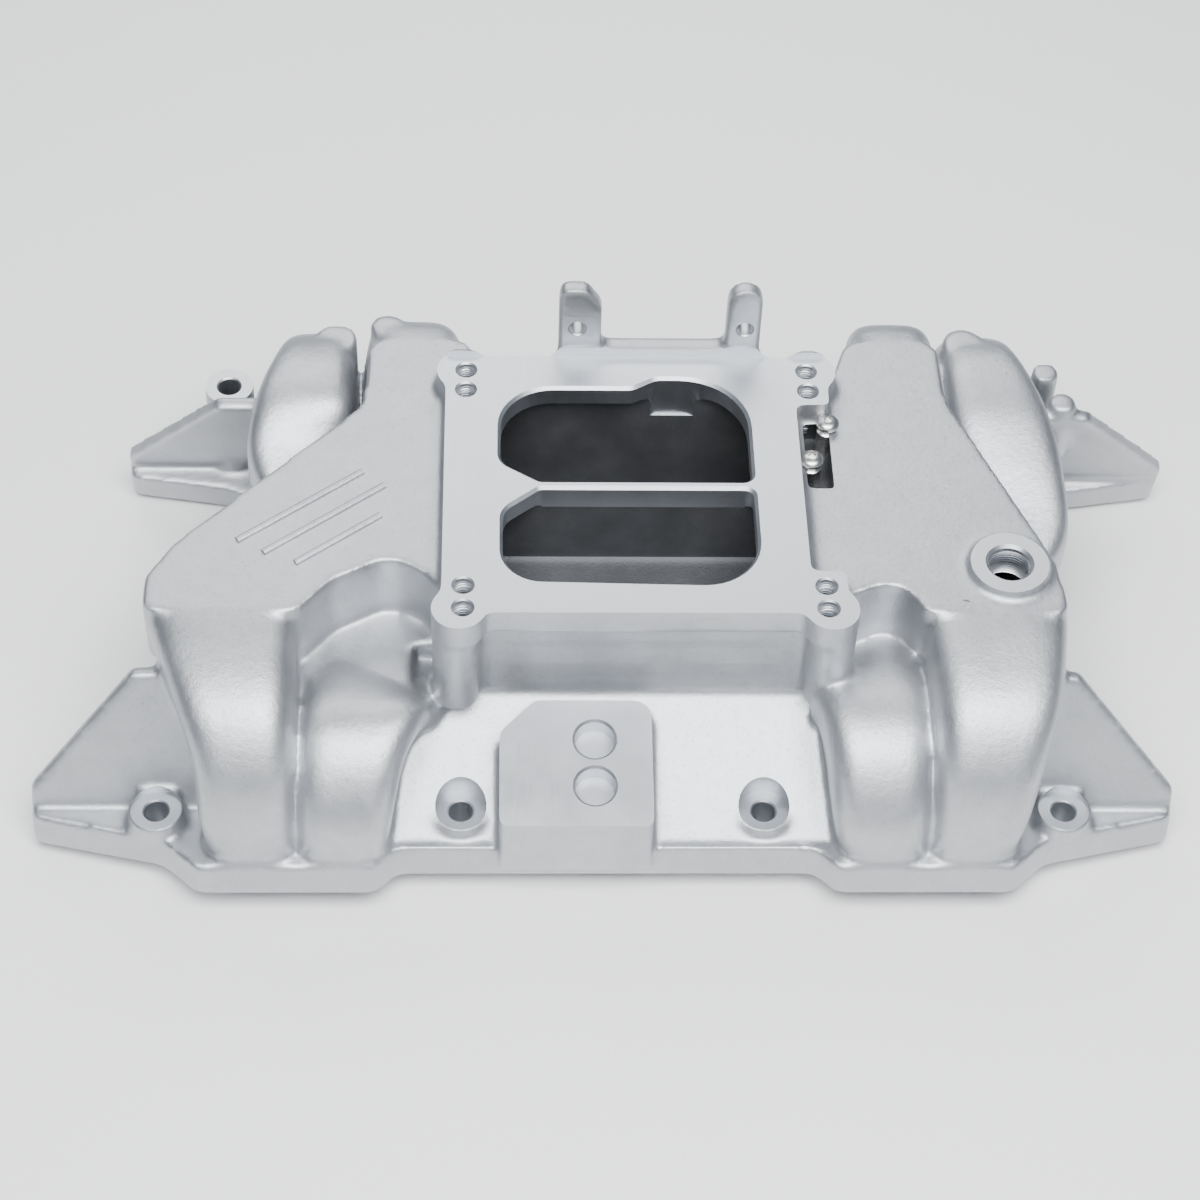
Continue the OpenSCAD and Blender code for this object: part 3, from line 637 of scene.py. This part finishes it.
divisions = [
    ("head_flange_near_casting", flange_region(NEAR), ["head_flange_near"]),
    ("head_flange_far_casting", flange_region(FAR), ["head_flange_far"]),
    ("ear_bracket", region(-45, 62, 74, 95, 95), ["linkage_bracket"]),
    ("carburettor_pad", region(-90, 90, -85, 75, 97), ["carb_flange"]),
    ("plenum", region(-65, 68, -62, 66, 36), ["plenum_case", "plane_divider", "upper_floor"]),
    ("heat_duct", region(-60, 60, -75, 75, LOW, 36), ["heat_crossover"]),
    ("vacuum_boss_casting", region(VAC_X - 20, VAC_X + 20, VAC_Y - 20, VAC_Y + 20, ROOF_Z), ["vacuum_boss"]),
    ("coil_post_casting", region(-188.5, -164.5, 88, 118, LOW, 76), ["coil_post"]),
    ("web_near_front", region(-260, -192, -140, -60), ["end_web_near_front"]),
    ("web_near_rear", region(172, 260, -140, -60), ["end_web_near_rear"]),
    ("web_far_front", region(-260, -172, 60, 140), ["end_web_far_front"]),
    ("web_far_rear", region(190, 260, 60, 140), ["end_web_far_rear"]),
    ("choke_pad_casting", region(CHOKE_X0 - 3, CHOKE_X1 + 5, -135, -62), ["choke_pad"]),
    ("runner_near_outer_front_casting", region(-210, near_front, -135, -46), ["runner_near_outer_front"]),
    ("runner_near_inner_front_casting", region(near_front, -97, -135, -46), ["runner_near_inner_front"]),
    ("runner_near_outer_rear_casting", region(near_rear, 190, -135, -46), ["runner_near_outer_rear"]),
    ("runner_near_inner_rear_casting", region(74, near_rear, -135, -46), ["runner_near_inner_rear"]),
    ("apron_near_casting", region(-97, 74, -135, -46), ["apron_near", "pad_columns"]),
    ("runner_far_inner_front_casting", region(far_front, -78, 84, 135),
     ["runner_far_inner_front", "stay_boss_front"]),
    ("runner_far_inner_rear_casting", region(96, far_rear, 84, 135), ["runner_far_inner_rear"]),
    ("runner_far_outer_front_casting", region(-190, far_front, 30, 135), ["runner_far_outer_front"]),
    ("runner_far_outer_rear_casting", region(far_rear, 200, 50, 135),
     ["runner_far_outer_rear", "stay_bosses_rear", "roof_bosses"]),
    ("apron_far_casting", region(-78, 96, 66, 135), ["apron_far"]),
    ("front_roof", region(-210, -60, -46, 90, 60),
     ["trunk_floor_front", "trunk_wall_front", "trunk_roof_front"]),
    ("rear_roof", region(60, 200, -46, 90, 60),
     ["trunk_floor_rear", "trunk_wall_rear", "trunk_roof_rear"]),
    ("lower_passages", region(-260, 260, -140, 140), []),
]
remainder = casting
parts = {}
for name, tool, nodes in divisions:
    tool = finish_slots(tool, CAST)
    parts[name] = (cut(remainder.copy(), tool.copy(), "INTERSECT"), nodes)
    remainder = cut(remainder, tool)
    print(name, len(parts[name][0].polygons), "faces,", len(remainder.polygons), "left")

# %% [markdown]
# ## Shader building blocks
# Cast aluminium looks right when three things vary together: colour, gloss and a fine relief.
# The small class below lets the shader be written as plain arithmetic, so each line reads as a
# statement about the metal. Every pattern is laid out in the object's own metres.

# %% A socket that can be added and multiplied
class Value:
    """One shader socket; arithmetic on it adds Math nodes to the same tree."""

    def __init__(self, tree, socket):
        self.tree, self.socket = tree, socket

    def maths(self, operation, first, second):
        node = self.tree.nodes.new("ShaderNodeMath")
        node.operation = operation
        for place, value in enumerate((first, second)):
            if isinstance(value, Value):
                self.tree.links.new(value.socket, node.inputs[place])
            else:
                node.inputs[place].default_value = value
        return Value(self.tree, node.outputs[0])

    def __add__(self, other):
        return self.maths("ADD", self, other)

    def __sub__(self, other):
        return self.maths("SUBTRACT", self, other)

    def __mul__(self, other):
        return self.maths("MULTIPLY", self, other)

    def above(self, level):
        return self.maths("GREATER_THAN", self, level)

    __radd__ = __add__
    __rmul__ = __mul__


class Shader:
    """A material's tree, with its principled shader and the object's coordinates at hand."""

    def __init__(self, material, metallic):
        material.use_nodes = True
        self.tree = material.node_tree
        self.principled = self.tree.nodes["Principled BSDF"]
        self.principled.inputs["Metallic"].default_value = metallic
        self.place = self.tree.nodes.new("ShaderNodeTexCoord").outputs["Object"]

    def node(self, kind, output, settings=None, **inputs):
        made = self.tree.nodes.new(kind)
        for key, value in (settings or {}).items():
            setattr(made, key, value)
        for key, value in inputs.items():
            target = made.inputs[key.replace("_", " ")]
            if isinstance(value, Value):
                self.tree.links.new(value.socket, target)
            elif isinstance(value, bpy.types.NodeSocket):
                self.tree.links.new(value, target)
            else:
                target.default_value = value
        return Value(self.tree, made.outputs[output])

    def noise(self, scale, detail=3.0, rough=0.55, at=None):
        return self.node("ShaderNodeTexNoise", 0, Vector=at or self.place, Scale=scale, Detail=detail,
                         Roughness=rough)

    def stretched(self, factors):
        return self.node("ShaderNodeMapping", 0, Vector=self.place, Scale=factors)

    def blend(self, factor, dark, light):
        mix = self.tree.nodes.new("ShaderNodeMix")
        mix.data_type = "RGBA"
        mix.inputs[6].default_value = (*dark, 1)
        mix.inputs[7].default_value = (*light, 1)
        self.tree.links.new(factor.socket, mix.inputs[0])
        return Value(self.tree, mix.outputs[2])

    def bump(self, height, distance, strength):
        return self.node("ShaderNodeBump", 0, Height=height, Distance=distance, Strength=strength)

    def set(self, name, value):
        self.tree.links.new(value.socket, self.principled.inputs[name])


# %% [markdown]
# ## Metals
# The sand leaves a grain of about half a millimetre with broader unevenness under it, and the
# alloy comes out of the mould a slightly blotchy silver grey. A milling cutter leaves brighter
# metal with fine parallel marks, and a lathe leaves rings.

# %% Sand-cast aluminium
GRAIN = 1500.0
cast = Shader(cast_skin, 1.0)
blotch = cast.noise(34.0, 4.0, 0.6)
patches = cast.noise(140.0, 3.0, 0.6)
grain = cast.noise(GRAIN, 2.0, 0.6)
pores = cast.noise(620.0, 1.0, 0.5).above(0.68)
tone = blotch * 0.55 + patches * 0.3 + grain * 0.25
cast.set("Base Color", cast.blend(tone - pores * 0.12, (0.33, 0.345, 0.365), (0.62, 0.635, 0.66)))
cast.set("Roughness", 0.36 + blotch * 0.12 + grain * 0.14)
relief = grain * 0.5 + cast.noise(420.0, 2.0, 0.5) * 0.8 + patches * 0.8 - pores * 0.3
cast.set("Normal", cast.bump(relief, 0.0003, 0.55))
print("sand cast shader:", len(cast.tree.nodes), "nodes")

# %% Core-sand surface inside the passages, painted dark as shade
# Inside, the coarser core sand leaves a duller skin; its colour is painted very dark to stand in for the
# shade in the hollows, with random mottling in it.
inner = Shader(hollow_shade_skin, 1.0)
hollow_mottle = inner.noise(48.0, 4.0, 0.6)
inner_grain = inner.noise(1100.0, 2.0, 0.6)
hollow_shade_tone = hollow_mottle * 0.7 + inner_grain * 0.3
# painted shade: a near-black colour in place of the shade that falls deep in the passages
inner.set("Base Color", inner.blend(hollow_shade_tone, (0.07, 0.075, 0.085), (0.2, 0.205, 0.215)))
inner.set("Roughness", 0.55 + hollow_mottle * 0.15 + inner_grain * 0.1)
inner.set("Normal", inner.bump(inner_grain + hollow_mottle, 0.0004, 0.6))

# %% Milled aluminium
mill = Shader(milled, 1.0)
marks = mill.noise(1.0, 2.0, 0.6, mill.stretched((2600.0, 60.0, 60.0)))
scuffs = mill.noise(60.0, 4.0, 0.6)
mill.set("Base Color", mill.blend(scuffs * 0.7 + marks * 0.3, (0.44, 0.46, 0.49), (0.6, 0.62, 0.65)))
mill.set("Roughness", 0.3 + scuffs * 0.12 + marks * 0.1)
mill.set("Normal", mill.bump(marks + scuffs * 0.5, 0.0001, 0.3))

# %% Turned steel for the small fittings and thread crests
turned_metal = bpy.data.materials.new("turned_steel")
lathe_look = Shader(turned_metal, 1.0)
rings = lathe_look.noise(1.0, 1.0, 0.5, lathe_look.stretched((90.0, 90.0, 4200.0)))
wear = lathe_look.noise(180.0, 3.0, 0.6)
lathe_look.set("Base Color", lathe_look.blend(wear, (0.55, 0.54, 0.52), (0.78, 0.77, 0.75)))
lathe_look.set("Roughness", 0.22 + rings * 0.16)
lathe_look.set("Normal", lathe_look.bump(rings, 0.0001, 0.35))
print("three metals ready")

# %% [markdown]
# ## Cast pieces in the scene
# Specks that the dividing planes may leave are dropped. Edges sharper than thirty-five degrees
# stay crisp, which keeps the machined rims clean while the cast fillets shade smoothly.

# %% Make the cast pieces
LEAST_ISLAND = 200


def without_specks(mesh):
    form = bmesh.new()
    form.from_mesh(mesh)
    waiting = set(form.verts)
    small = []
    while waiting:
        group, front = set(), [waiting.pop()]
        while front:
            vert = front.pop()
            group.add(vert)
            for edge in vert.link_edges:
                other = edge.other_vert(vert)
                if other in waiting:
                    waiting.remove(other)
                    front.append(other)
        if len(group) < LEAST_ISLAND:
            small += group
    bmesh.ops.delete(form, geom=small, context="VERTS")
    form.to_mesh(mesh)
    form.free()
    return mesh


def shaded(mesh, angle):
    mesh.polygons.foreach_set("use_smooth", [True] * len(mesh.polygons))
    mesh.set_sharp_from_angle(angle=math.radians(angle))
    return mesh


def placed(name, mesh, nodes=()):
    mesh.name = name
    obj = add_object(name, mesh)
    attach(obj, "root")
    if nodes:
        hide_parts(*nodes)
    return obj


CRISP_ANGLE = 35
for name, (mesh, nodes) in parts.items():
    placed(name, shaded(without_specks(mesh), CRISP_ANGLE), nodes)
print(len(parts), "cast pieces placed")

# %% [markdown]
# ## Small fittings
# Two turned hose nipples stand on the rear roof. They are lathe work: a straight shank pressed
# into the casting, a neck and a rounded barb, so each is one profile turned about its axis.

# %% Vacuum nipples
NIPPLE_PROFILE = [(0, 84), (4.2, 84), (4.2, 98.6), (3.0, 99.4), (3.0, 100.2), (4.4, 101.0), (4.9, 102.2),
                  (4.7, 103.4), (3.6, 104.4), (1.7, 104.8), (1.5, 104.2), (0, 104.2)]
for number, (x, y) in enumerate([(71.5, 22), (79.5, 43)], 1):
    mesh = lathe("nipple", NIPPLE_PROFILE, shift(x, y, -1.5), 48)
    mesh.materials.append(turned_metal)
    placed(f"vacuum_nipple_{number}", shaded(mesh, 40), ["vacuum_nipples"])

# %% [markdown]
# ## Repeated and swept details
# Threads and raised bars repeat one section along a path, so Geometry Nodes make them. A thread
# is a spiral line swept with a three-sided crest and set down once on every hole; a bar is a line
# swept with a round section and half sunk into the casting. Both groups take named inputs.

# %% A node group for threads and one for bars
def new_group(name, sockets):
    tree = bpy.data.node_groups.new(name, "GeometryNodeTree")
    tree.interface.new_socket("Geometry", in_out="INPUT", socket_type="NodeSocketGeometry")
    for label, kind in sockets:
        tree.interface.new_socket(label, in_out="INPUT", socket_type=kind)
    tree.interface.new_socket("Geometry", in_out="OUTPUT", socket_type="NodeSocketGeometry")
    return tree, tree.nodes.new("NodeGroupInput"), tree.nodes.new("NodeGroupOutput")


def linked(tree, kind, output=0, **inputs):
    node = tree.nodes.new(kind)
    for key, value in inputs.items():
        target = node.inputs[key.replace("_", " ")]
        if isinstance(value, bpy.types.NodeSocket):
            tree.links.new(value, target)
        else:
            target.default_value = value
    return node.outputs[output]


def finish_group(tree, geometry, material, group_out):
    solid = linked(tree, "GeometryNodeRealizeInstances", Geometry=geometry)
    painted = linked(tree, "GeometryNodeSetMaterial", Geometry=solid, Material=material)
    tree.links.new(painted, group_out.inputs["Geometry"])


FLOAT, STUFF = "NodeSocketFloat", "NodeSocketMaterial"
threads, given, result = new_group("Threads", [("Radius", FLOAT), ("Turns", FLOAT), ("Height", FLOAT),
                                               ("Crest", FLOAT), ("Metal", STUFF)])
spiral = linked(threads, "GeometryNodeCurveSpiral", Resolution=40, Rotations=given.outputs["Turns"],
                Start_Radius=given.outputs["Radius"], End_Radius=given.outputs["Radius"],
                Height=given.outputs["Height"])
crest = linked(threads, "GeometryNodeCurvePrimitiveCircle", Resolution=3, Radius=given.outputs["Crest"])
ridge = linked(threads, "GeometryNodeCurveToMesh", Curve=spiral, Profile_Curve=crest, Fill_Caps=True)
spots = linked(threads, "GeometryNodeMeshToPoints", Mesh=given.outputs["Geometry"])
set_down = linked(threads, "GeometryNodeInstanceOnPoints", Points=spots, Instance=ridge)
finish_group(threads, set_down, given.outputs["Metal"], result)

bars, given, result = new_group("Bars", [("Half width", FLOAT), ("Metal", STUFF)])
path = linked(bars, "GeometryNodeMeshToCurve", Mesh=given.outputs["Geometry"])
section = linked(bars, "GeometryNodeCurvePrimitiveCircle", Resolution=20, Radius=given.outputs["Half width"])
swept = linked(bars, "GeometryNodeCurveToMesh", Curve=path, Profile_Curve=section, Fill_Caps=True)
finish_group(bars, swept, given.outputs["Metal"], result)


def grown(name, tree, points, edges, values):
    """A plain mesh of points and edges, put through a node group and frozen."""
    mesh = bpy.data.meshes.new(name)
    mesh.from_pydata([((x + CARB_X) * MM, y * MM, z * MM) for x, y, z in points], edges, [])
    obj = add_object(name, mesh)
    step = obj.modifiers.new("grow", "NODES")
    step.node_group = tree
    for item in tree.interface.items_tree:
        if item.in_out == "INPUT" and item.name in values:
            step[item.identifier] = values[item.name]
    return tidy_normals(evaluated(obj))


# %% Threads in the tapped holes
PITCH = 1.27
CREST = 0.42
thread_sets = [
    ("stud_threads", [(x, y, 88.0) for x, y in stud_holes], 3.95, 15),
    ("vacuum_thread", [(VAC_X, VAC_Y, 86.0)], VAC_R, 10),
]
for name, points, radius, turns in thread_sets:
    sizes = {"Radius": radius * MM, "Turns": float(turns), "Crest": CREST * MM, "Height": turns * PITCH * MM}
    mesh = grown(name, threads, points, [], {**sizes, "Metal": milled})
    placed(name, shaded(mesh, 30))
    print(name, len(mesh.polygons), "faces")

# %% Raised bars on the roof and lugs at the legs
roof_rows = [(-138, -2, 62), (-128, -9, 60), (-122, -20, 42)]
bar_angle = math.radians(38)
reach = np.array([math.cos(bar_angle), math.sin(bar_angle)])
bar_points, bar_edges = [], []
for x, y, length in roof_rows:
    for end in (0, 1):
        spot = np.array([x, y]) + reach * length * (end - 0.5)
        bar_points.append((spot[0], spot[1], ROOF_Z - 0.6))
    bar_edges.append((len(bar_points) - 2, len(bar_points) - 1))
mesh = grown("roof_ribs", bars, bar_points, bar_edges, {"Half width": 1.8 * MM, "Metal": cast_skin})
placed("roof_rib_bars", shaded(mesh, 50), ["roof_ribs"])
print("roof bars:", len(mesh.polygons), "faces")
LUG_Z = 22, 36
lug_points, lug_edges = [], []
for x in (-164.0, -152.0, 130.0, 142.5):
    for z in LUG_Z:
        lug_points.append((x, -117.6 + (z - LUG_Z[0]) * 0.16, z))
    lug_edges.append((len(lug_points) - 2, len(lug_points) - 1))
mesh = grown("leg_lugs", bars, lug_points, lug_edges, {"Half width": 1.6 * MM, "Metal": cast_skin})
placed("leg_lug_bars", shaded(mesh, 50), ["datum_lugs"])

# %% [markdown]
# ## Floor, light and surroundings
# A bare casting reads best under one broad overhead softbox leaning towards the camera, with dimmer
# ones in front and behind, so slopes read bright, walls fall off and the hollows stay dark.

# %% Floor
FLOOR_SIZE = 9.0
floor_mesh = bpy.data.meshes.new("studio_floor")
h = FLOOR_SIZE / 2
floor_mesh.from_pydata([(-h, -h, 0), (h, -h, 0), (h, h, 0), (-h, h, 0)], [], [(0, 1, 2, 3)])
paper = bpy.data.materials.new("studio_paper")
paper_look = Shader(paper, 0.0)
fibre = paper_look.noise(900.0, 3.0, 0.6)
paper_look.set("Base Color", paper_look.blend(fibre, (0.86, 0.86, 0.86), (0.9, 0.9, 0.9)))
paper_look.set("Roughness", 0.75 + fibre * 0.1)
floor_mesh.materials.append(paper)
floor = add_object("studio_floor", floor_mesh)


# %% Lights
def softbox(name, place, aim, width, height, watts):
    data = bpy.data.lights.new(name, "AREA")
    data.shape = "RECTANGLE"
    data.size, data.size_y = width, height
    data.energy = watts
    obj = bpy.data.objects.new(name, data)
    bpy.context.scene.collection.objects.link(obj)
    obj.location = place
    obj.rotation_euler = (Vector(aim) - Vector(place)).to_track_quat("-Z", "Y").to_euler()
    return obj


softbox("top_softbox", (0.05, -0.5, 1.2), (0, 0, 0.05), 1.2, 0.7, 38)
softbox("front_softbox", (0.0, -1.25, 0.85), (0, 0, 0.05), 1.3, 0.6, 6)
softbox("back_softbox", (-0.1, 0.95, 1.0), (0, 0, 0.05), 1.4, 0.6, 13)
world = bpy.data.worlds.new("studio")
bpy.context.scene.world = world
world.use_nodes = True
world.node_tree.nodes["Background"].inputs["Color"].default_value = (0.62, 0.79, 1.0, 1)
world.node_tree.nodes["Background"].inputs["Strength"].default_value = 0.2
print("lights placed")
